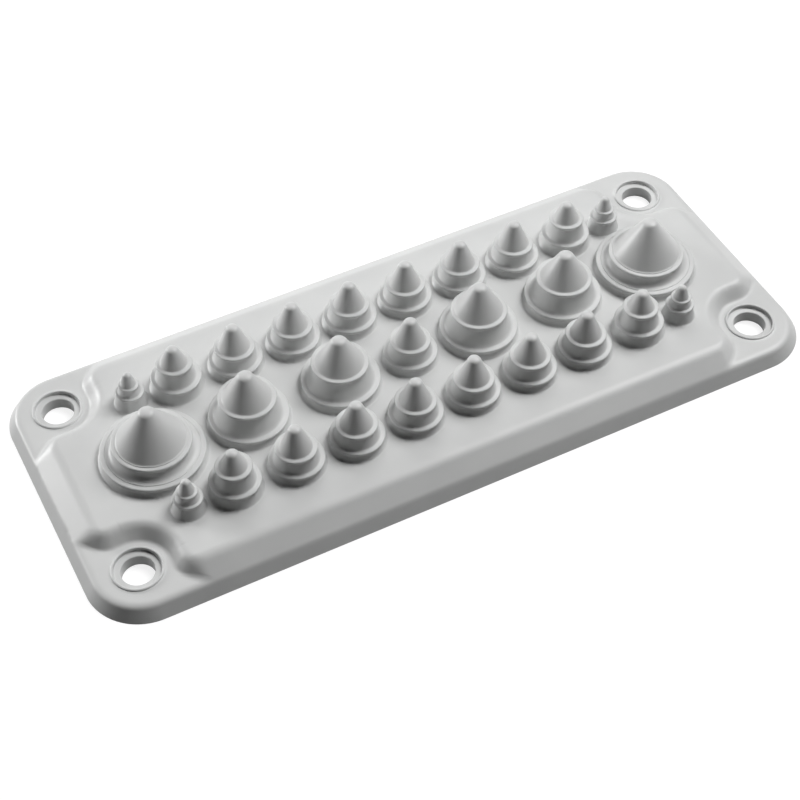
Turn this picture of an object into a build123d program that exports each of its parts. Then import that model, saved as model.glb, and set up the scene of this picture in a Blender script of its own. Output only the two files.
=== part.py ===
from build123d import *
import math
import os
from dataclasses import dataclass

# Cable entry plate: one moulding with stepped, hollow membrane nozzles on a raised crown.
# Millimetres. The origin is the centre of the underside, X runs along the plate, Z up through the nozzles.

# Screw holes, and how far they lie in from the plate's edges
hole_spacing_x = 206.0
hole_spacing_y = 66.0
hole_inset_x = 15.5
hole_inset_y = 16.0
hole_r = 4.9

# Plate outline and levels above the underside
corner_r = 17.0
wall_top_z = 4.0
wall_lean = 2.45
crown_z = 8.5
crown_lean = 6.45
wall_edge_r = 3.0
crown_edge_r = 3.6

# Pads, each with a raised ring round a washer seat
pad_z = 4.5
seat_r = 6.9
seat_depth = 1.2
ring_r = 8.6
ring_height = 0.5
ring_slope = 45.0

# Pockets that drop from the crown to the pads
pocket_r = 9.65
lobe_r = 6.0
end_lobe_inset = 4.6
side_lobe_inset = 4.7
pocket_slope = 49.0
pocket_exit = 25.0
pocket_edge_r = 3.0
pocket_foot_r = 1.5

# Hollow underside
crown_skin = 3.0
rim_width = 10.5
post_r = 15.0
recess_corner_r = 3.0
nozzle_skin = 1.2

# Nozzle layout
column_pitch = 19.4
row_offset = 22.25
columns = 8
near_big_x = 23.7
far_big_x = 53.9
large_x = 84.4
tiny_x = 82.6
tiny_y = 22.6


@dataclass(frozen=True)
class Nozzle:
    """Radii and heights of one size of nozzle, from its foot to its blunt tip, in heights above the crown."""

    foot_r: float
    drum_r: float
    drum_height: float
    tier_r: float
    collar_r: float
    collar_height: float
    cone_r: float
    tip_r: float
    height: float


large = Nozzle(16.2, 15.7, 3.1, 14.1, 12.0, 7.3, 10.6, 2.1, 20.0)
big = Nozzle(12.6, 12.2, 3.1, 10.8, 8.8, 9.9, 7.8, 2.05, 19.7)
medium = Nozzle(8.7, 8.4, 3.2, 7.1, 6.35, 8.0, 5.4, 1.75, 16.3)
small = Nozzle(8.2, 7.75, 4.4, 6.4, 5.55, 10.3, 4.6, 1.65, 16.5)
tiny = Nozzle(5.4, 4.45, 4.9, 3.7, 3.2, 7.9, 2.6, 1.25, 12.4)

# How far cutters run past a face, and how near a point counts as lying on a line
cut_over = 1.0
on_line = 0.1

hole_x = hole_spacing_x / 2
hole_y = hole_spacing_y / 2
half_length = hole_x + hole_inset_x
half_width = hole_y + hole_inset_y
plate_length = 2 * half_length
plate_width = 2 * half_width
recess_half_x = half_length - rim_width
recess_half_y = half_width - rim_width
recess_z = crown_z - crown_skin
column_xs = [(i - (columns - 1) / 2) * column_pitch for i in range(columns)]
seats = {
    large: [(x, 0) for x in (-large_x, large_x)],
    big: [(x, 0) for x in (-far_big_x, -near_big_x, near_big_x, far_big_x)],
    medium: [(0, 0)] + [(x, y) for x in column_xs[1:-1] for y in (-row_offset, row_offset)],
    small: [(x, y) for x in (column_xs[0], column_xs[-1]) for y in (-row_offset, row_offset)],
    tiny: [(x, y) for x in (-tiny_x, tiny_x) for y in (-tiny_y, tiny_y)],
}


def lean(inset, rise):
    """Lean from upright, in degrees, of a face that comes in by inset while it rises by rise."""
    return math.degrees(math.atan2(inset, rise))


def level_edges(shape, z):
    """Edges that lie flat at one height."""
    return shape.edges().filter_by_position(Axis.Z, z, z).filter_by(Plane.XY)


def off_sides(face):
    """Test for edges that don't run along the face's straight sides."""
    reach = face.bounding_box().max
    return lambda e: abs(e.center().X) < reach.X - on_line and abs(e.center().Y) < reach.Y - on_line


def pocket_cutter():
    """The space above one pad: its wall bends round the screw hole and swells into a lobe at each end.

    The foot of the wall is rounded here, as it would be on the mould's insert.
    """
    exit_cos = math.cos(math.radians(pocket_exit))
    exit_sin = math.sin(math.radians(pocket_exit))
    reach = corner_r + crown_lean
    side_lobe = Vector(hole_x - pocket_r - lobe_r, half_width - side_lobe_inset - lobe_r)
    end_lobe = Vector(half_length - end_lobe_inset - lobe_r, hole_y - pocket_r - lobe_r)
    side_exit = side_lobe + Vector(exit_sin, exit_cos) * lobe_r
    end_exit = end_lobe + Vector(exit_cos, exit_sin) * lobe_r
    side_far = side_exit + Vector(-exit_cos, exit_sin) * reach
    end_far = end_exit + Vector(exit_sin, -exit_cos) * reach
    with BuildPart() as cutter:
        with BuildSketch(Plane.XY.offset(pad_z)):
            with BuildLine():
                Line(side_far, side_exit)
                CenterArc(side_lobe, lobe_r, 0, 90 - pocket_exit)
                Line(side_lobe + Vector(lobe_r, 0), (hole_x - pocket_r, hole_y))
                CenterArc((hole_x, hole_y), pocket_r, 180, 90)
                Line((hole_x, hole_y - pocket_r), end_lobe + Vector(0, lobe_r))
                CenterArc(end_lobe, lobe_r, pocket_exit, 90 - pocket_exit)
                Line(end_exit, end_far)
                Polyline(end_far, (end_far.X, side_far.Y), side_far)
            make_face()
        extrude(amount=crown_z - pad_z + cut_over, taper=pocket_slope - 90)
        floor = cutter.faces().sort_by(Axis.Z)[0]
        fillet(floor.edges().filter_by(off_sides(floor)), pocket_foot_r)
    return cutter.part


def beside_rim(corner):
    """Test for corners of the recess that lie on its long sides or its ends."""
    return abs(corner.X) > recess_half_x - on_line or abs(corner.Y) > recess_half_y - on_line


def nozzle_outside(size):
    """Drum, tier and cone with a blunt tip, each drafted, on a root sunk into the crown."""
    with BuildPart() as outside:
        with BuildSketch(Plane.XZ):
            with BuildLine():
                Polyline(
                    (0, crown_z - crown_skin / 2),
                    (size.foot_r, crown_z - crown_skin / 2),
                    (size.foot_r, crown_z),
                    (size.drum_r, crown_z + size.drum_height),
                    (size.tier_r, crown_z + size.drum_height),
                    (size.collar_r, crown_z + size.collar_height),
                    (size.cone_r, crown_z + size.collar_height),
                    (size.tip_r, crown_z + size.height),
                    (0, crown_z + size.height),
                    close=True,
                )
            make_face()
        revolve(axis=Axis.Z)
    return outside.part


def nozzle_bore(size):
    """The hollow under a nozzle, straight up to the collar and then pointed, with a skin round it."""
    with BuildPart() as bore:
        with BuildSketch(Plane.XZ):
            with BuildLine():
                Polyline(
                    (0, recess_z - cut_over),
                    (size.collar_r - nozzle_skin, recess_z - cut_over),
                    (size.collar_r - nozzle_skin, crown_z + size.collar_height - nozzle_skin),
                    (0, crown_z + size.height - 2 * nozzle_skin),
                    close=True,
                )
            make_face()
        revolve(axis=Axis.Z)
    return bore.part


back_pockets = [pocket_cutter(), pocket_cutter().mirror(Plane.YZ)]
pockets = back_pockets + [pocket.mirror(Plane.XZ) for pocket in back_pockets]

with BuildPart() as entry_plate:
    # Leaning outer wall, then the flatter flank up to the crown
    with BuildSketch(Plane.XY):
        RectangleRounded(plate_length, plate_width, corner_r)
    extrude(amount=wall_top_z, taper=lean(wall_lean, wall_top_z))
    with BuildSketch(Plane.XY.offset(wall_top_z)):
        RectangleRounded(plate_length - 2 * wall_lean, plate_width - 2 * wall_lean, corner_r - wall_lean)
    extrude(amount=crown_z - wall_top_z, taper=lean(crown_lean, crown_z - wall_top_z))
    fillet(level_edges(entry_plate, wall_top_z), wall_edge_r)
    fillet(level_edges(entry_plate, crown_z), crown_edge_r)

    # Pockets at the corners. Their edge at the crown runs smoothly into the outer edge of the pad,
    # so that one fillet goes all the way round each pad.
    for cutter in pockets:
        add(cutter, mode=Mode.SUBTRACT)
    crown = entry_plate.faces().sort_by(Axis.Z)[-1]
    fillet(crown.outer_wire().edges().filter_by(off_sides(crown)), pocket_edge_r)

    # Raised ring, washer seat and hole for each screw
    with BuildSketch(Plane.XY.offset(pad_z)):
        with GridLocations(hole_spacing_x, hole_spacing_y, 2, 2):
            Circle(ring_r)
    extrude(amount=ring_height, taper=90 - ring_slope)
    with Locations(Plane.XY.offset(pad_z + ring_height)):
        with GridLocations(hole_spacing_x, hole_spacing_y, 2, 2):
            CounterBoreHole(hole_r, seat_r, seat_depth)

    # Nozzles on the crown
    for size, places in seats.items():
        with Locations(*places):
            add(nozzle_outside(size))

    # Hollow underside, which leaves a flat rim and a solid post round each screw
    with BuildSketch(Plane.XY) as recess:
        Rectangle(2 * recess_half_x, 2 * recess_half_y)
        with GridLocations(2 * (hole_x - post_r + half_width), 2 * (hole_y - post_r + half_width), 2, 2):
            RectangleRounded(plate_width, plate_width, post_r, mode=Mode.SUBTRACT)
        fillet(recess.vertices().filter_by(beside_rim), recess_corner_r)
    extrude(amount=recess_z, mode=Mode.SUBTRACT)
    for size, places in seats.items():
        with Locations(*places):
            add(nozzle_bore(size), mode=Mode.SUBTRACT)

entry_plate.part.label = "entry_plate"
os.makedirs("parts", exist_ok=True)
export_step(entry_plate.part, "parts/entry_plate.step")
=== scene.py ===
"""Light grey cable entry plate with stepped, pointed membrane nozzles, dressed for a studio picture.

The plate's sizes are in millimetres, with Z up from the middle of its underside, and become metres in its
mesh. The studio's are in metres, degrees and watts.
"""
import logging
import math
from dataclasses import dataclass, field
from enum import Enum
from typing import Sequence

import bpy
import numpy as np
from mathutils import Matrix, Vector
from mathutils.geometry import delaunay_2d_cdt


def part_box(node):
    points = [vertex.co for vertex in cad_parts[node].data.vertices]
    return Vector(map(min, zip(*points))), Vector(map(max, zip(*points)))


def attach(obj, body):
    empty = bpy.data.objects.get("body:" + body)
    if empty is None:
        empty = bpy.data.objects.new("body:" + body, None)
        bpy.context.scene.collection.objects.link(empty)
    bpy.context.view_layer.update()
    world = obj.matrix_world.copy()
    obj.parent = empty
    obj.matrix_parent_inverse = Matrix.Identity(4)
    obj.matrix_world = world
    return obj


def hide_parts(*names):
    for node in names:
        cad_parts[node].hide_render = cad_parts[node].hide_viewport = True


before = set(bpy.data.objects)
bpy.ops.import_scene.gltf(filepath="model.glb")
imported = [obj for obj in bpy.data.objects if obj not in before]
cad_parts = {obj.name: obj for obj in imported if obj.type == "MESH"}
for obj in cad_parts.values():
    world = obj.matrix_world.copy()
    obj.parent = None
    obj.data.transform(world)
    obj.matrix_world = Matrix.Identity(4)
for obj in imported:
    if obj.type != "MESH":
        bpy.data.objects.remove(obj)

LOG = logging.getLogger("entry_plate")
NODE = "entry_plate"
PIECE = "entry_plate_moulding"
MILLIMETRE = 0.001

# Millimetres: points this near are welded, and lengths this near count as equal
WELD = 1e-4
NEAR = 1e-9

# The Delaunay net fills the convex hull of its points, and joins points this near, in millimetres
NET_HULL = 0
NET_NEAR = 1e-6

# A bend is short if its two sides together are no longer than this, in millimetres. It gets fewer chords.
SHORT_BEND = 0.7
SHORT_STEPS = 2

# Signs that mirror the +X, +Y corner to all four, counterclockwise
CORNERS = ((1, 1), (-1, 1), (-1, -1), (1, -1))

Array = np.ndarray
Pair = tuple[float, float]


class Facing(Enum):
    """Which way a flat looks."""

    UP = 1
    DOWN = -1


def rounded_profile(corners: Sequence[Pair], radii: Sequence[float], steps: int) -> Array:
    """Turn the inner corners of a broken line into arcs.

    Each arc touches both of its runs: it starts radius / tan(half the corner's angle) before the corner,
    and its centre lies on the corner's bisector at radius / sin(half the angle). At a share s of its turn it
    is at centre + (sin((1 - s) * turn) * start + sin(s * turn) * stop) / sin(turn), with start and stop seen
    from the centre.

    Args:
        corners: Points of the broken line.
        radii: One radius for each inner corner.
        steps: Chords per arc.

    Returns:
        Points along the line, shape (n, 2).
    """
    points = np.asarray(corners, float)
    line = [points[:1]]
    for before, corner, after, radius in zip(points, points[1:], points[2:], radii):
        back = (before - corner) / np.linalg.norm(before - corner)
        ahead = (after - corner) / np.linalg.norm(after - corner)
        half = 0.5 * math.acos(float(np.clip(back @ ahead, -1, 1)))
        bisector = (back + ahead) / np.linalg.norm(back + ahead)
        centre = corner + bisector * radius / math.sin(half)
        start = corner + back * radius / math.tan(half) - centre
        stop = corner + ahead * radius / math.tan(half) - centre
        turn = math.pi - 2 * half
        share = np.linspace(0, 1, steps + 1)[:, None]
        swung = (np.sin((1 - share) * turn) * start + np.sin(share * turn) * stop) / math.sin(turn)
        line.append(centre + swung)
    line.append(points[-1:])
    return np.concatenate(line)


def eased_profile(corners: Sequence[Pair], cuts: Sequence[Pair], steps: int) -> Array:
    """Turn the inner corners of a broken line into soft bends, each of its own length on both sides.

    A bend is the quadratic Bezier curve (1 - t)^2 * start + 2 t (1 - t) * corner + t^2 * stop, so it leaves
    and meets its runs without a kink.

    Args:
        corners: Points of the broken line.
        cuts: For each inner corner, how far before and after it the bend starts and stops.
        steps: Chords per bend. A short bend takes two.

    Returns:
        Points along the line, shape (n, 2).
    """
    points = np.asarray(corners, float)
    line = [points[:1]]
    for before, corner, after, (back, ahead) in zip(points, points[1:], points[2:], cuts):
        chords = steps if back + ahead > SHORT_BEND else SHORT_STEPS
        share = np.linspace(0, 1, chords + 1)[:, None]
        start = corner + (before - corner) * back / np.linalg.norm(before - corner)
        stop = corner + (after - corner) * ahead / np.linalg.norm(after - corner)
        line.append((1 - share) ** 2 * start + 2 * share * (1 - share) * corner + share**2 * stop)
    line.append(points[-1:])
    return np.concatenate(line)


def soft_min(first: Array, second: Array, width: Array | float) -> Array:
    """Lower of two heights, with a cubic blend where they are less than width apart.

    The blend takes off width / 6 times the cube of (1 - gap / width).

    Args:
        first: Heights.
        second: Heights of the same shape.
        width: Gap below which the two are blended.

    Returns:
        Blended heights.
    """
    near = np.clip(1 - np.abs(first - second) / width, 0, 1)
    return np.minimum(first, second) - width / 6 * near**3


def arc(centre: Pair | Array, radius: float, start: float, stop: float, count: int) -> Array:
    """Points on an arc, centre + radius * (cos, sin) of evenly spaced angles.

    Args:
        centre: Middle of the arc.
        radius: Its radius.
        start: First angle in degrees.
        stop: Last angle in degrees.
        count: Number of points.

    Returns:
        Points, shape (count, 2).
    """
    angle = np.radians(np.linspace(start, stop, count))
    return np.asarray(centre) + radius * np.stack([np.cos(angle), np.sin(angle)], axis=1)


def inside(points: Array, loops: Sequence[Array]) -> Array:
    """Even-odd test: a point is inside if a ray along +X crosses the loops an odd number of times.

    Args:
        points: Points to test, shape (n, 2).
        loops: Closed loops, each of shape (m, 2).

    Returns:
        Booleans, shape (n,).
    """
    crossings = np.zeros(len(points), int)
    for loop in loops:
        start, stop = loop[None], np.roll(loop, -1, axis=0)[None]
        x, y = points[:, None, 0], points[:, None, 1]
        spans = (start[..., 1] > y) != (stop[..., 1] > y)
        rise = np.where(spans, stop[..., 1] - start[..., 1], 1.0)
        at = start[..., 0] + (y - start[..., 1]) / rise * (stop[..., 0] - start[..., 0])
        crossings += (spans & (x < at)).sum(axis=1)
    return crossings % 2 == 1


def distance_to(points: Array, line: Array) -> Array:
    """Distance from each point to the nearest run of a broken line.

    The nearest place on a run is start + share * run, where share is the point's offset from the start times
    the run, over the run's length squared, held between 0 and 1.

    Args:
        points: Points, shape (n, 2).
        line: Broken line, shape (m, 2).

    Returns:
        Distances, shape (n,).
    """
    start, run = line[:-1][None], np.diff(line, axis=0)[None]
    offset = points[:, None] - start
    share = np.clip((offset * run).sum(-1) / (run**2).sum(-1), 0, 1)
    return np.linalg.norm(offset - share[..., None] * run, axis=-1).min(axis=1)


def lifted(flat: Array, level: Array) -> Array:
    """Give a grid of places their heights, so that (x, y) becomes (x, y, level).

    Args:
        flat: Places, shape (n, m, 2).
        level: Heights, which spread to the shape (n, m, 1).

    Returns:
        Points, shape (n, m, 3).
    """
    return np.concatenate([flat, np.broadcast_to(level, (*flat.shape[:2], 1))], axis=2)


def four_corners(quarter: Array) -> list[Array]:
    """Mirror a quarter of a loop to each corner. A quarter that is mirrored once runs the other way round.

    Args:
        quarter: Counterclockwise points of the +X, +Y quarter, shape (n, 2).

    Returns:
        The four quarters, counterclockwise.
    """
    return [quarter[:: x * y] * (x, y) for x, y in CORNERS]


def linked(name: str, data: bpy.types.ID) -> bpy.types.Object:
    """Make an object and link it to the scene.

    Args:
        name: Name of the object.
        data: Its mesh, light or camera.

    Returns:
        The object.
    """
    made = bpy.data.objects.new(name, data)
    bpy.context.scene.collection.objects.link(made)
    return made


def aimed(azimuth: float, elevation: float, distance: float, aim: Sequence[float], roll: float) -> Matrix:
    """Place a lamp or camera on a ball round its aim, so that it looks at the aim along its own -Z.

    It stands at aim + distance * (sin a * cos e, -cos a * cos e, sin e), for azimuth a and elevation e.

    Args:
        azimuth: Degrees from -Y towards +X.
        elevation: Degrees above the ground.
        distance: Radius of the ball.
        aim: Its middle.
        roll: Degrees that it turns about its own Z, clockwise seen from behind it.

    Returns:
        The matrix.
    """
    a, e = math.radians(azimuth), math.radians(elevation)
    back = Vector((math.sin(a) * math.cos(e), -math.cos(a) * math.cos(e), math.sin(e)))
    look = (-back).to_track_quat("-Z", "Y").to_matrix().to_4x4()
    turn = look @ Matrix.Rotation(-math.radians(roll), 4, "Z")
    return Matrix.Translation(Vector(aim) + back * distance) @ turn


class Shell:
    """Gathers grids and flats in millimetres and welds them into one closed mesh."""

    def __init__(self) -> None:
        """Start empty."""
        self.points: list[Array] = []
        self.triangles: list[Array] = []
        self.count = 0

    def add(self, points: Array, triangles: Array) -> None:
        """Take in a patch.

        Args:
            points: Shape (n, 3).
            triangles: Indices into the points, shape (m, 3).
        """
        self.points.append(points)
        self.triangles.append(triangles + self.count)
        self.count += len(points)

    def grid(self, points: Array, turned: bool = False, closed: bool = False) -> None:
        """Take in a grid of points as two triangles a cell, split from its first corner to the opposite one.

        Args:
            points: Shape (rows, columns, 3). Seen from outside, the way from row to row turns
                counterclockwise to the way from column to column.
            turned: True if it turns clockwise.
            closed: True if the last column joins the first.
        """
        rows, columns = points.shape[:2]
        index = np.arange(rows * columns).reshape(rows, columns)
        if closed:
            index = np.concatenate([index, index[:, :1]], axis=1)
        a, b, c, d = index[:-1, :-1], index[1:, :-1], index[1:, 1:], index[:-1, 1:]
        halves = [np.stack(corners, -1).reshape(-1, 3) for corners in ((a, b, c), (a, c, d))]
        triangles = np.concatenate(halves)
        self.add(points.reshape(-1, 3), triangles[:, ::-1] if turned else triangles)

    def flat(self, outline: Array, holes: Sequence[Array], level: float, facing: Facing) -> None:
        """Take in a level face with holes, as a constrained Delaunay net of its edge points.

        Triangles whose middle lies in a hole or outside the outline are left out, and each of the others is
        turned to face the side that shows.

        Args:
            outline: Outer loop, shape (n, 2).
            holes: Inner loops.
            level: Height of the face.
            facing: The side that it shows.
        """
        loops = [outline, *holes]
        points = np.concatenate(loops)
        first = np.cumsum([0] + [len(loop) for loop in loops])
        indices = [np.arange(a, b) for a, b in zip(first, first[1:])]
        edges = np.concatenate([np.stack([index, np.roll(index, -1)], 1) for index in indices])
        places = list(map(Vector, points.tolist()))
        faces, sources = delaunay_2d_cdt(places, edges.tolist(), [], NET_HULL, NET_NEAR)[2:4]
        triangles = np.array([source[0] for source in sources])[np.array(faces)]
        triangles = triangles[inside(points[triangles].mean(axis=1), loops)]
        a, b, c = (points[triangles[:, k]] for k in range(3))
        side = np.sign((b - a)[:, 0] * (c - a)[:, 1] - (b - a)[:, 1] * (c - a)[:, 0])
        triangles = np.where((side == facing.value)[:, None], triangles, triangles[:, ::-1])
        self.add(np.column_stack([points, np.full(len(points), level)]), triangles)

    def mesh(self, name: str, sharp: float) -> bpy.types.Mesh:
        """Weld points that share a place, drop collapsed triangles and make a smooth mesh in metres.

        Args:
            name: Name of the mesh.
            sharp: Angle in degrees past which an edge stays sharp.

        Returns:
            The mesh.
        """
        points = np.concatenate(self.points)
        triangles = np.concatenate(self.triangles)
        cells = np.round(points / WELD).astype(np.int64)
        _, first, place = np.unique(cells, axis=0, return_index=True, return_inverse=True)
        triangles = place.reshape(-1)[triangles]
        a, b, c = triangles.T
        triangles = triangles[(a != b) & (b != c) & (c != a)]
        mesh = bpy.data.meshes.new(name)
        mesh.from_pydata((points[first] * MILLIMETRE).tolist(), [], triangles.tolist())
        mesh.shade_smooth()
        mesh.set_sharp_from_angle(angle=math.radians(sharp))
        mesh.update()
        return mesh


@dataclass(frozen=True)
class Plastic:
    """Light grey satin moulding plastic with a fine grain and a slight unevenness of tone."""

    name: str = "light_grey_plastic"
    colour: tuple[float, float, float] = (0.60, 0.605, 0.60)
    shade: tuple[float, float, float] = (0.565, 0.57, 0.567)
    cloud_scale: float = 55.0
    cloud_detail: float = 3.0
    cloud_band: Pair = (0.3, 0.7)
    roughness: float = 0.42
    roughness_spread: float = 0.05
    specular: float = 0.45
    grain_scale: float = 2600.0
    grain_detail: float = 2.0
    grain_height: float = 0.00002
    grain_strength: float = 0.6

    def material(self) -> bpy.types.Material:
        """Build the node material: soft clouds between two tones, and a grain that roughens and dents.

        Returns:
            The material.
        """
        material = bpy.data.materials.new(self.name)
        material.use_nodes = True
        tree = material.node_tree
        shader = tree.nodes["Principled BSDF"]
        shader.inputs["Specular IOR Level"].default_value = self.specular
        place = tree.nodes.new("ShaderNodeTexCoord")
        cloud = tree.nodes.new("ShaderNodeTexNoise")
        cloud.inputs["Scale"].default_value = self.cloud_scale
        cloud.inputs["Detail"].default_value = self.cloud_detail
        tone = tree.nodes.new("ShaderNodeValToRGB")
        stops = zip(tone.color_ramp.elements, self.cloud_band, (self.shade, self.colour))
        for stop, position, colour in stops:
            stop.position = position
            stop.color = (*colour, 1)
        grain = tree.nodes.new("ShaderNodeTexNoise")
        grain.inputs["Scale"].default_value = self.grain_scale
        grain.inputs["Detail"].default_value = self.grain_detail
        bump = tree.nodes.new("ShaderNodeBump")
        bump.inputs["Distance"].default_value = self.grain_height
        bump.inputs["Strength"].default_value = self.grain_strength
        rough = tree.nodes.new("ShaderNodeMapRange")
        rough.inputs["To Min"].default_value = self.roughness - self.roughness_spread
        rough.inputs["To Max"].default_value = self.roughness + self.roughness_spread
        for texture in (cloud, grain):
            tree.links.new(place.outputs["Object"], texture.inputs["Vector"])
        tree.links.new(cloud.outputs["Fac"], tone.inputs["Fac"])
        tree.links.new(tone.outputs["Color"], shader.inputs["Base Color"])
        tree.links.new(grain.outputs["Fac"], rough.inputs["Value"])
        tree.links.new(rough.outputs["Result"], shader.inputs["Roughness"])
        tree.links.new(grain.outputs["Fac"], bump.inputs["Height"])
        tree.links.new(bump.outputs["Normal"], shader.inputs["Normal"])
        return material


@dataclass(frozen=True)
class Nozzle:
    """One size of membrane nozzle: radii, and heights above the crown.

    A sweep or bend is how far a soft bend reaches before and after its corner. A step is the riser and tread
    at the inner side of a ledge, and a neck is how far in and down the wall is drawn under a ledge's bead.
    The outline starts foot_start outside the sweep of its foot.
    """

    foot_r: float
    drum_r: float
    drum_h: float
    tier_r: float
    collar_r: float
    collar_h: float
    cone_r: float
    tip_r: float
    height: float
    chords: int
    foot_sweep: Pair
    tier_sweep: Pair
    cone_sweep: Pair = (0.2, 0.7)
    tier_step: Pair = (0.0, 0.0)
    cone_step: Pair = (0.0, 0.0)
    neck: Pair = (0.6, 1.4)
    bead: float = 0.5
    neck_bend: Pair = (0.25, 0.3)
    bead_bend: Pair = (0.3, 0.3)
    step_bend: Pair = (0.18, 0.18)
    tip_bend: Pair = (0.7, 0.8)
    tip_dome: float = 0.4
    foot_start: float = 0.05
    skin: float = 1.2
    bore_round: float = 0.6
    steps: int = 3
    bore_steps: int = 2

    def outside(self) -> Array:
        """Outer outline from the crown to the tip: drum, bead, tier, bead and cone, each corner a soft bend.

        Each wall sweeps up from its foot and is drawn in to a neck below the ledge. Half the neck's depth
        below the ledge it is out again, as a bead round the ledge's edge. A step comes before the next wall,
        and the tip is a low dome.

        Returns:
            Radius and height above the crown, shape (n, 2).
        """
        corners = [(self.foot_r + self.foot_sweep[0] + self.foot_start, 0.0), (self.foot_r, 0.0)]
        bends = [self.foot_sweep]
        ledges = [
            (self.drum_r, self.drum_h, self.tier_r, self.tier_step, self.tier_sweep),
            (self.collar_r, self.collar_h, self.cone_r, self.cone_step, self.cone_sweep),
        ]
        inward, down = self.neck
        for edge, level, wall, (rise, tread), sweep in ledges:
            corners += [(edge - inward, level - down), (edge, level - 0.5 * down), (edge, level)]
            bends += [self.neck_bend, self.bead_bend, (self.bead, self.bead)]
            if rise > 0:
                corners += [(wall + tread, level), (wall + tread, level + rise)]
                bends += [self.step_bend, self.step_bend]
            corners.append((wall, level + rise))
            bends.append(sweep)
        corners += [(self.tip_r, self.height - self.tip_dome), (0.0, self.height)]
        return eased_profile(corners, [*bends, self.tip_bend], self.steps)

    def hollow(self, ceiling: float) -> Array:
        """Inner outline from the point down to the ceiling of the underside, with an arc at the collar.

        The bore is a skin inside the collar and ends a skin below its top, and the point is two skins below the
        tip.

        Args:
            ceiling: Height of the ceiling above the crown, below zero.

        Returns:
            Radius and height above the crown, shape (n, 2).
        """
        bore = self.collar_r - self.skin
        corners = [(0, self.height - 2 * self.skin), (bore, self.collar_h - self.skin), (bore, ceiling)]
        return rounded_profile(corners, [self.bore_round], self.bore_steps)

    def ring(self, centre: Pair, radius: float) -> Array:
        """Circle of this nozzle's chords.

        Args:
            centre: Middle of the nozzle.
            radius: Radius of the circle.

        Returns:
            Points, shape (chords, 2).
        """
        return arc(centre, radius, 0, 360, self.chords + 1)[:-1]

    def turned(self, centre: Pair, profile: Array, base: float) -> Array:
        """Carry a profile round the nozzle's axis: centre + radius * (cos a, sin a), at base + height.

        Args:
            centre: Middle of the nozzle.
            profile: Radius and height, shape (n, 2).
            base: Level that the heights count from.

        Returns:
            Grid of shape (n, chords, 3).
        """
        circle = self.ring((0, 0), 1.0)
        return lifted(np.asarray(centre) + profile[:, None, :1] * circle[None], base + profile[:, None, 1:])


@dataclass
class NozzleField:
    """The rows of nozzles: a middle row of three sizes and two outer rows, each the same on both sides.

    Each size gives its nine radii and heights, its chords, and then its sweeps.
    """

    columns: int = 8
    pitch: float = 19.4
    row: float = 22.25
    near_big: float = 23.7
    far_big: float = 53.9
    large_x: float = 84.4
    tiny_x: float = 82.6
    tiny_y: float = 22.6
    large: Nozzle = Nozzle(
        *(16.2, 15.7, 3.1, 12.3, 12.0, 7.3, 10.35, 2.1, 20.0, 72),
        foot_sweep=(0.35, 0.7),
        tier_sweep=(1.6, 1.6),
        cone_sweep=(0.15, 0.8),
        tier_step=(0.18, 1.8),
        cone_step=(0.25, 0.35),
        neck=(0.55, 1.5),
    )
    big: Nozzle = Nozzle(12.6, 12.2, 3.1, 10.2, 8.8, 9.9, 7.45, 2.05, 19.7, 60, (0.35, 0.7), (0.6, 2.6))
    medium: Nozzle = Nozzle(8.7, 8.4, 3.2, 6.8, 6.35, 8.0, 4.9, 1.75, 16.3, 48, (0.35, 0.7), (0.3, 1.2))
    small: Nozzle = Nozzle(8.2, 7.75, 4.4, 6.1, 5.55, 10.3, 4.15, 1.65, 16.5, 48, (0.35, 0.9), (0.3, 1.3))
    tiny: Nozzle = Nozzle(
        *(5.1, 4.45, 4.9, 3.5, 3.2, 7.9, 2.35, 1.25, 12.4, 36),
        foot_sweep=(0.3, 0.8),
        tier_sweep=(0.15, 0.6),
        neck=(0.35, 1.1),
        bead=0.4,
    )

    def seats(self) -> list[tuple[Nozzle, Pair]]:
        """Each nozzle with its place on the crown. The columns of the outer rows lie a pitch apart.

        Returns:
            Pairs of nozzle and centre.
        """
        columns = (np.arange(self.columns) - (self.columns - 1) / 2) * self.pitch
        found = [(self.large, (side * self.large_x, 0.0)) for side in (-1, 1)]
        found += [(self.big, (x, 0.0)) for x in (-self.far_big, -self.near_big, self.near_big, self.far_big)]
        found.append((self.medium, (0.0, 0.0)))
        for side in (-1, 1):
            found += [(self.medium, (float(x), side * self.row)) for x in columns[1:-1]]
            found += [(self.small, (float(x), side * self.row)) for x in columns[[0, -1]]]
            found += [(self.tiny, (x, side * self.tiny_y)) for x in (-self.tiny_x, self.tiny_x)]
        return found


@dataclass(frozen=True)
class Fineness:
    """How many points the plate's mesh has along each of its lines, or chords in each of its arcs."""

    outline_arc: int = 40
    outline_run: int = 13
    wall: int = 6
    flank: int = 22
    side: int = 17
    end: int = 5
    patch_arc: int = 44
    side_join: int = 7
    end_join: int = 6
    ray: int = 31
    seat_chords: int = 3
    bead: int = 6
    bead_fall: int = 5
    lobe_arc: int = 16
    pocket_arc: int = 28
    body_chords: int = 32
    foot_chords: int = 24
    recess_arc: int = 6
    post_arc: int = 28
    ceiling_chords: int = 4


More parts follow.
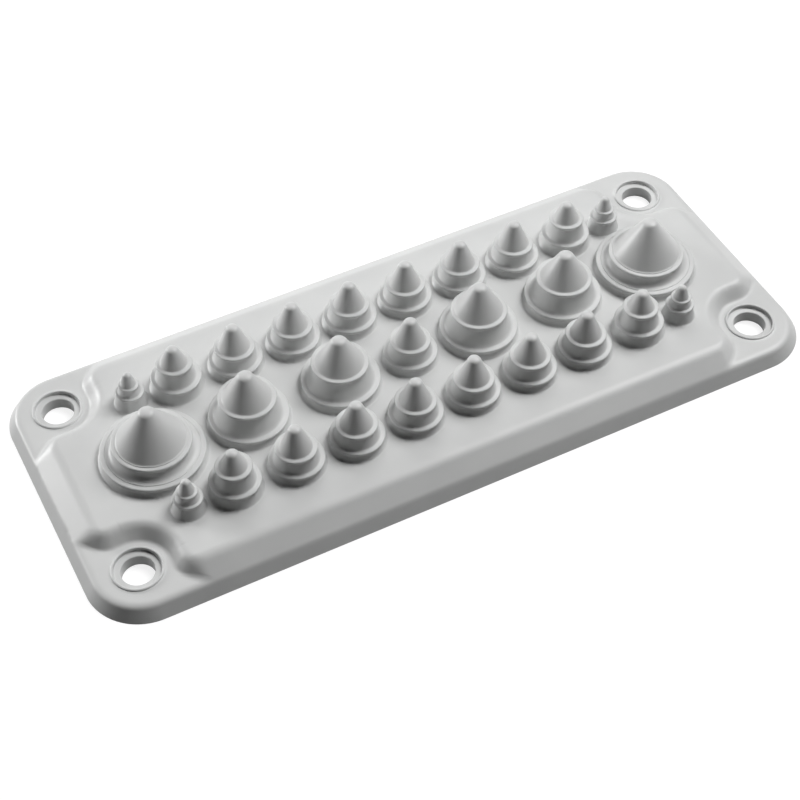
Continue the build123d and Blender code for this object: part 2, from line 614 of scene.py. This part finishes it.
@dataclass
class Body:
    """The plate itself: leaning wall, flank, crown, corner pockets with screw rings, and hollow underside.

    Each corner is one patch of rays from its screw hole. Strips of the sides and ends lie between the
    patches, and the crown inside them is flat.
    """

    length: float
    width: float
    corner_r: float = 17.0
    wall_top: float = 4.0
    wall_lean: float = 2.45
    crown: float = 8.5
    crown_lean: float = 6.45
    wall_round: float = 3.0
    crown_round: float = 6.0
    hole_in_x: float = 15.5
    hole_in_y: float = 16.0
    hole_r: float = 4.9
    seat_r: float = 6.9
    seat_z: float = 3.8
    seat_round: float = 0.3
    ring_peak_r: float = 7.25
    bead_r: float = 7.75
    ring_r: float = 8.6
    ring_h: float = 0.55
    pad: float = 4.5
    pocket_r: float = 9.65
    lobe_r: float = 8.0
    end_lobe_in: float = 4.6
    side_lobe_in: float = 4.7
    pocket_slope: float = 49.0
    pocket_exit: float = 44.0
    foot_round: float = 1.5
    blend_low: float = 1.3
    blend_high: float = 2.6
    rim: float = 10.5
    ceiling: float = 5.5
    post_r: float = 15.0
    recess_corner: float = 3.0
    ceiling_round: float = 1.0
    wall_band: float = 2.0
    flank_band: float = 11.0
    strip_x: float = 80.0
    strip_y: float = 38.0
    end_x: float = 107.0
    end_y: float = 11.0
    patch_r: float = 15.6
    patch_from: float = 178.0
    patch_to: float = 268.0
    bow: float = 0.04
    sharp: float = 48.0
    fine: Fineness = Fineness()
    nozzles: NozzleField = field(default_factory=NozzleField)

    @property
    def half(self) -> Array:
        """Half of the length and width."""
        return np.array([self.length, self.width]) / 2

    @property
    def hole(self) -> Array:
        """Centre of the screw hole at +X, +Y."""
        return self.half - (self.hole_in_x, self.hole_in_y)

    def inset(self, points: Array) -> Array:
        """Distance in from the outline: corner_r less the distance from the rectangle of the arcs' centres.

        Inside that rectangle the distance is negative, and counts to its nearest side.

        Args:
            points: Shape (n, 2).

        Returns:
            Distances, shape (n,).
        """
        reach = np.abs(points) - (self.half - self.corner_r)
        outer = np.linalg.norm(np.maximum(reach, 0), axis=1)
        return self.corner_r - outer - np.minimum(reach.max(axis=1), 0)

    def pocket_foot(self) -> Array:
        """Foot of the pocket wall at +X, +Y: a run, a lobe, a bend round the screw, a lobe and a run.

        Returns:
            Points, shape (n, 2).
        """
        half, hole, tilt = self.half, self.hole, math.radians(self.pocket_exit)
        side = (hole[0] - self.pocket_r - self.lobe_r, half[1] - self.side_lobe_in - self.lobe_r)
        end = (half[0] - self.end_lobe_in - self.lobe_r, hole[1] - self.pocket_r - self.lobe_r)
        far = self.corner_r + self.crown_lean
        side_arc = arc(side, self.lobe_r, 90 - self.pocket_exit, 0, self.fine.lobe_arc)
        end_arc = arc(end, self.lobe_r, 90, self.pocket_exit, self.fine.lobe_arc)
        side_far = side_arc[0] + far * np.array([-math.cos(tilt), math.sin(tilt)])
        end_far = end_arc[-1] + far * np.array([math.sin(tilt), -math.cos(tilt)])
        bend = arc(hole, self.pocket_r, 180, 270, self.fine.pocket_arc)
        return np.concatenate([side_far[None], side_arc, bend, end_arc, end_far[None]])

    def height(self, points: Array) -> Array:
        """Height of the upper face away from the screw rings.

        The wall, flank and crown give a height for the distance in from the outline, and the pocket gives
        one for the distance from its foot. The face is the soft lower of the two, softer near the crown. The
        wall's line goes on for a millimetre outside the outline, below the foot.

        Args:
            points: Shape (n, 2), anywhere on the plate.

        Returns:
            Heights, shape (n,).
        """
        points = np.abs(points)
        corners = [(-1, -self.wall_top / self.wall_lean), (self.wall_lean, self.wall_top)]
        corners += [(self.wall_lean + self.crown_lean, self.crown), (self.length, self.crown)]
        body = rounded_profile(corners, [self.wall_round, self.crown_round], self.fine.body_chords)
        high = np.interp(self.inset(points), body[:, 0], body[:, 1])
        foot = self.pocket_foot()
        floor = np.concatenate([foot, [[foot[-1, 0], foot[0, 1]]]])
        away = distance_to(points, foot) * np.where(inside(points, [floor]), -1, 1)
        rise = math.tan(math.radians(self.pocket_slope))
        corners = [(-self.length, self.pad), (0, self.pad), (self.length, self.pad + self.length * rise)]
        wall = rounded_profile(corners, [self.foot_round], self.fine.foot_chords)
        low = np.interp(away, wall[:, 0], wall[:, 1])
        climb = np.clip((low - self.pad) / (self.crown - self.pad), 0, 1)
        return soft_min(high, low, self.blend_low + (self.blend_high - self.blend_low) * climb)

    def edge_insets(self) -> Array:
        """Distances in from the outline at which the side strips have points."""
        wall = np.linspace(0, self.wall_band, self.fine.wall)
        flank = np.linspace(self.wall_band, self.flank_band, self.fine.flank)
        return np.unique(np.concatenate([wall, flank, [self.half[1] - self.strip_y]]))

    def end_insets(self) -> Array:
        """Those of the distances at which the end strips have points too."""
        insets = self.edge_insets()
        return insets[insets <= self.half[0] - self.end_x + NEAR]

    def bowed(self, start: Array, stop: Array, count: int) -> Array:
        """Points between two others on a shallow half sine wave, which bends to the right of the way.

        They lie at start + way * s + bow * (way_y, -way_x) * sin(pi * s), for shares s of the way.

        Args:
            start: Point before the first.
            stop: Point after the last.
            count: Number of points with both ends.

        Returns:
            Points, shape (count - 2, 2).
        """
        share = np.linspace(0, 1, count)[1:-1, None]
        way = stop - start
        return start + way * share + self.bow * np.array([way[1], -way[0]]) * np.sin(math.pi * share)

    def patch_rim(self) -> tuple[Array, int, int]:
        """Outer loop of a corner patch, counterclockwise from the end strip's outline point.

        Returns:
            The loop, the number of its points along the outline, and how many follow along the side strip.
        """
        half, fine, centre = self.half, self.fine, self.half - self.corner_r
        insets, end_in, run = self.edge_insets(), self.end_insets(), self.fine.outline_run
        up = np.stack([np.full(run, half[0]), np.linspace(self.end_y, centre[1], run)], 1)[:-1]
        bend = arc(centre, self.corner_r, 0, 90, fine.outline_arc)
        left = np.stack([np.linspace(centre[0], self.strip_x, run), np.full(run, half[1])], 1)[1:]
        side = np.stack([np.full(len(insets), self.strip_x), half[1] - insets], 1)[1:]
        ring = arc(self.hole, self.patch_r, self.patch_from, self.patch_to, fine.patch_arc)
        side_join = self.bowed(side[-1], ring[0], fine.side_join)
        end = np.stack([half[0] - end_in, np.full(len(end_in), self.end_y)], 1)[::-1][:-1]
        end_join = self.bowed(ring[-1], end[0], fine.end_join)
        outline = len(up) + len(bend) + len(left)
        loop = np.concatenate([up, bend, left, side, side_join, ring, end_join, end])
        return loop, outline, len(side)

    def rays(self) -> tuple[Array, Array]:
        """Rays from the screw hole to the patch's loop.

        Returns:
            Their directions, shape (n, 2), and lengths, shape (n,).
        """
        way = self.patch_rim()[0] - self.hole
        reach = np.linalg.norm(way, axis=1)
        return way / reach[:, None], reach

    def corner_patch(self) -> Array:
        """Upper face of the +X, +Y corner, as rays from the screw hole to the patch's loop.

        Near the hole each ray follows the section of the hole, the washer seat and the ring. Further out it
        takes the face's height plus the ring's outer fall, two thirds of it in a quarter of an ellipse down
        the bead and one third in half a cosine wave down to the pad.

        Returns:
            Grid of shape (points along a ray, rays, 3).
        """
        fine, peak, bead_width = self.fine, self.pad + self.ring_h, self.bead_r - self.ring_peak_r
        corners = [(self.hole_r, 0), (self.hole_r, self.seat_z), (self.seat_r, self.seat_z)]
        corners += [(self.seat_r, peak), (self.ring_peak_r, peak)]
        section = rounded_profile(corners, [self.seat_round] * 3, fine.seat_chords)
        ahead, reach = self.rays()
        inner = lifted(self.hole + section[:, None, :1] * ahead[None], section[:, None, 1:])
        bead = self.ring_peak_r + bead_width * np.sin(np.linspace(0, math.pi / 2, fine.bead)[1:])
        near = np.concatenate([bead, np.linspace(self.bead_r, self.ring_r, fine.bead_fall)[1:]])[:, None]
        share = np.linspace(0, 1, fine.ray + 1)[1:, None]
        further = near[-1] + (reach - near[-1]) * share
        radius = np.concatenate([np.broadcast_to(near, (len(near), len(reach))), further])
        place = self.hole + radius[..., None] * ahead[None]
        place[-1] = self.patch_rim()[0]
        level = self.height(place.reshape(-1, 2)).reshape(radius.shape)
        fall = np.clip((radius - self.ring_peak_r) / (self.ring_r - self.ring_peak_r), 0, 1)
        bead_fall = np.clip((radius - self.ring_peak_r) / bead_width, 0, 1)
        thirds = 2 * np.sqrt(1 - bead_fall**2) + 0.5 + 0.5 * np.cos(math.pi * fall)
        level = level + self.ring_h * thirds / 3
        return np.concatenate([inner, lifted(place, level[..., None])])

    def build(self) -> Shell:
        """Put the whole moulding together as one closed shell.

        Its parts share the points of their borders, so that the weld closes it.

        Returns:
            The shell, in millimetres.
        """
        shell = Shell()
        rim, outline, beside = self.patch_rim()
        patch = self.corner_patch()
        for x, y in CORNERS:
            shell.grid(patch * (x, y, 1), turned=x * y < 0, closed=True)
        along = np.linspace(-self.strip_x, self.strip_x, self.fine.side)
        across = np.linspace(-self.end_y, self.end_y, self.fine.end)
        side_y = self.half[1] - self.edge_insets()
        end_x = self.half[0] - self.end_insets()
        side = self.raised(*np.meshgrid(along, side_y))
        end = self.raised(*np.meshgrid(end_x, across))
        for sign in (-1, 1):
            shell.grid(side * (1, sign, 1), turned=sign < 0)
            shell.grid(end * (sign, 1, 1), turned=sign < 0)
        # The crown meets a patch from the side strip's innermost point to the end strip's
        inner = rim[outline + beside - 1 : len(rim) - len(end_x) + 2]
        crown = self.joined(inner[::-1], along[1:-1], across[1:-1], side_y[-1], end_x[-1])
        seats = self.nozzles.seats()
        feet = [nozzle.ring(centre, nozzle.outside()[0, 0]) for nozzle, centre in seats]
        shell.flat(crown, feet, self.crown, Facing.UP)
        outer = self.joined(rim[:outline], along[1:-1], across[1:-1], self.half[1], self.half[0])
        self.add_underside(shell, outer)
        for nozzle, centre in seats:
            for profile in (nozzle.outside(), nozzle.hollow(self.ceiling - self.crown)):
                shell.grid(nozzle.turned(centre, profile, self.crown), turned=True, closed=True)
        return shell

    def raised(self, x: Array, y: Array) -> Array:
        """Give each place of a grid its height.

        Args:
            x: Shape (n, m).
            y: Shape (n, m).

        Returns:
            Points, shape (n, m, 3).
        """
        flat = np.stack([x.reshape(-1), y.reshape(-1)], axis=1)
        return np.stack([x, y, self.height(flat).reshape(x.shape)], axis=2)

    def joined(self, quarter: Array, along: Array, across: Array, side_y: float, end_x: float) -> Array:
        """Mirror a quarter of a loop to all four corners and join the quarters along the sides and ends.

        Args:
            quarter: Points of the +X, +Y quarter, from the end to the side.
            along: Places of the points between the quarters on a long side.
            across: Places of the points between the quarters on an end.
            side_y: Distance of the long sides' points from the middle.
            end_x: Distance of the ends' points from the middle.

        Returns:
            Counterclockwise loop, shape (n, 2).
        """
        top = np.stack([along[::-1], np.full(len(along), side_y)], 1)
        left = np.stack([np.full(len(across), -end_x), across[::-1]], 1)
        gaps = (top, left, -top, -left)
        return np.concatenate([part for pair in zip(four_corners(quarter), gaps) for part in pair])

    def recess(self) -> tuple[Array, Array]:
        """Outline of the hollow underside, which bends round a solid post at each screw.

        Returns:
            Counterclockwise points and their inward directions, each of shape (n, 2).
        """
        edge, post = self.half - self.rim, self.hole - self.post_r
        radius, turn, bend = self.recess_corner, self.fine.recess_arc, self.fine.post_arc
        lower = arc(edge - (radius, edge[1] - post[1] + radius), radius, 0, 90, turn)
        upper = arc((post[0] - radius, edge[1] - radius), radius, 0, 90, turn)
        quarter = np.concatenate([lower, arc(self.hole, self.post_r, 270, 180, bend), upper])
        corner = arc((0, 0), -1, 0, 90, turn)
        inward = np.concatenate([corner, arc((0, 0), 1, 270, 180, bend), corner])
        return np.concatenate(four_corners(quarter)), np.concatenate(four_corners(inward))

    def add_underside(self, shell: Shell, outer: Array) -> None:
        """Add the flat rim, the recess wall with a rounded inner corner, and the ceiling with its bores.

        The wall is the section (inset, height) carried round the recess: each point moves in by the inset.

        Args:
            shell: Shell to add to.
            outer: Outline of the plate's foot.
        """
        loop, inward = self.recess()
        screw = self.hole + self.rays()[0] * self.hole_r
        shell.flat(outer, [loop, *(screw * sign for sign in CORNERS)], 0.0, Facing.DOWN)
        corners = [(0, 0), (0, self.ceiling), (2 * self.ceiling_round, self.ceiling)]
        section = rounded_profile(corners, [self.ceiling_round], self.fine.ceiling_chords)[:-1]
        wall = lifted(loop[None] + section[:, None, :1] * inward[None], section[:, None, 1:])
        shell.grid(wall, closed=True)
        bores = [nozzle.ring(centre, nozzle.hollow(0)[-1, 0]) for nozzle, centre in self.nozzles.seats()]
        shell.flat(wall[-1, :, :2], bores, self.ceiling, Facing.DOWN)

    def piece(self, finish: Plastic) -> None:
        """Make the moulding's object and put it in the place of the plain solid.

        Args:
            finish: Its plastic.
        """
        mesh = self.build().mesh(PIECE, self.sharp)
        mesh.materials.append(finish.material())
        made = linked(PIECE, mesh)
        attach(made, "root")
        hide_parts(NODE)
        LOG.info("moulding: %d triangles", len(mesh.polygons))


@dataclass(frozen=True)
class Lamp:
    """Soft square lamp that faces the plate's middle.

    It has its place in degrees and metres, the length of its side in metres and its power in watts.
    """

    name: str
    azimuth: float
    elevation: float
    distance: float
    size: float
    power: float

    def hang(self) -> None:
        """Put the lamp in the scene."""
        data = bpy.data.lights.new(self.name, "AREA")
        data.shape = "SQUARE"
        data.size = self.size
        data.energy = self.power
        made = linked(self.name, data)
        made.matrix_world = aimed(self.azimuth, self.elevation, self.distance, (0, 0, 0), 0.0)


@dataclass
class Studio:
    """White ground, soft lamps and the camera."""

    aim: tuple[float, float, float] = (-0.01328, -0.00941, 0.0085)
    distance: float = 0.51854
    azimuth: float = -26.02
    elevation: float = 48.86
    roll: float = 1.075
    lens: float = 77.5
    sensor: float = 36.0
    clip_start: float = 0.01
    shift: Pair = (0.0181, -0.0100)
    world: float = 0.005
    floor_size: float = 6.0
    floor_drop: float = 0.00003
    floor_grey: float = 0.25
    floor_glow: float = 0.82
    lamps: tuple[Lamp, ...] = (
        Lamp("back_left_low", -140, 12, 1.3, 0.45, 13.3),
        Lamp("right_high", 100, 58, 1.3, 0.6, 14.4),
        Lamp("right_side", 70, 32, 1.3, 0.45, 1.5),
        Lamp("back_high", 162, 53, 1.3, 0.6, 3.4),
    )

    def camera(self) -> None:
        """Place the camera at the photograph's viewing angle."""
        data = bpy.data.cameras.new("camera")
        data.lens = self.lens
        data.sensor_width = self.sensor
        data.shift_x, data.shift_y = self.shift
        data.clip_start = self.clip_start
        made = linked("camera", data)
        made.matrix_world = aimed(self.azimuth, self.elevation, self.distance, self.aim, self.roll)
        bpy.context.scene.camera = made

    def ground(self) -> None:
        """Lay the floor a hair below the plate.

        Its grey takes the shadow. A glow makes it white to the camera, to glossy rays and to rays that pass
        through something, and lights nothing else.
        """
        half, level = self.floor_size / 2, -self.floor_drop
        mesh = bpy.data.meshes.new("floor")
        corners = [(-half, -half, level), (half, -half, level), (half, half, level), (-half, half, level)]
        mesh.from_pydata(corners, [], [(0, 1, 2, 3)])
        floor = linked("floor", mesh)
        material = bpy.data.materials.new("white_floor")
        material.use_nodes = True
        tree = material.node_tree
        shader = tree.nodes["Principled BSDF"]
        shader.inputs["Base Color"].default_value = (self.floor_grey, self.floor_grey, self.floor_grey, 1)
        shader.inputs["Roughness"].default_value = 1.0
        shader.inputs["Specular IOR Level"].default_value = 0.0
        shader.inputs["Emission Color"].default_value = (1, 1, 1, 1)
        ray = tree.nodes.new("ShaderNodeLightPath")
        indirect, seen, glow = (tree.nodes.new("ShaderNodeMath") for _ in range(3))
        indirect.operation = seen.operation = "MAXIMUM"
        glow.operation = "MULTIPLY"
        glow.inputs[1].default_value = self.floor_glow
        tree.links.new(ray.outputs["Is Glossy Ray"], indirect.inputs[0])
        tree.links.new(ray.outputs["Is Transmission Ray"], indirect.inputs[1])
        tree.links.new(ray.outputs["Is Camera Ray"], seen.inputs[0])
        tree.links.new(indirect.outputs["Value"], seen.inputs[1])
        tree.links.new(seen.outputs["Value"], glow.inputs[0])
        tree.links.new(glow.outputs["Value"], shader.inputs["Emission Strength"])
        mesh.materials.append(material)

    def build(self) -> None:
        """Set up the ground, the lamps, the world and the camera."""
        scene = bpy.context.scene
        scene.view_settings.view_transform = "Standard"
        world = bpy.data.worlds.new("world")
        world.use_nodes = True
        sky = world.node_tree.nodes["Background"]
        sky.inputs["Color"].default_value = (1, 1, 1, 1)
        sky.inputs["Strength"].default_value = self.world
        scene.world = world
        self.ground()
        for lamp in self.lamps:
            lamp.hang()
        self.camera()


def main() -> None:
    """Build the plate and the studio."""
    logging.basicConfig(level=logging.INFO)
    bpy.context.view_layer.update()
    low, high = (np.array(corner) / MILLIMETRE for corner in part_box(NODE))
    body = Body(length=float(high[0] - low[0]), width=float(high[1] - low[1]))
    body.piece(Plastic())
    Studio().build()


if __name__ == "__main__":
    main()
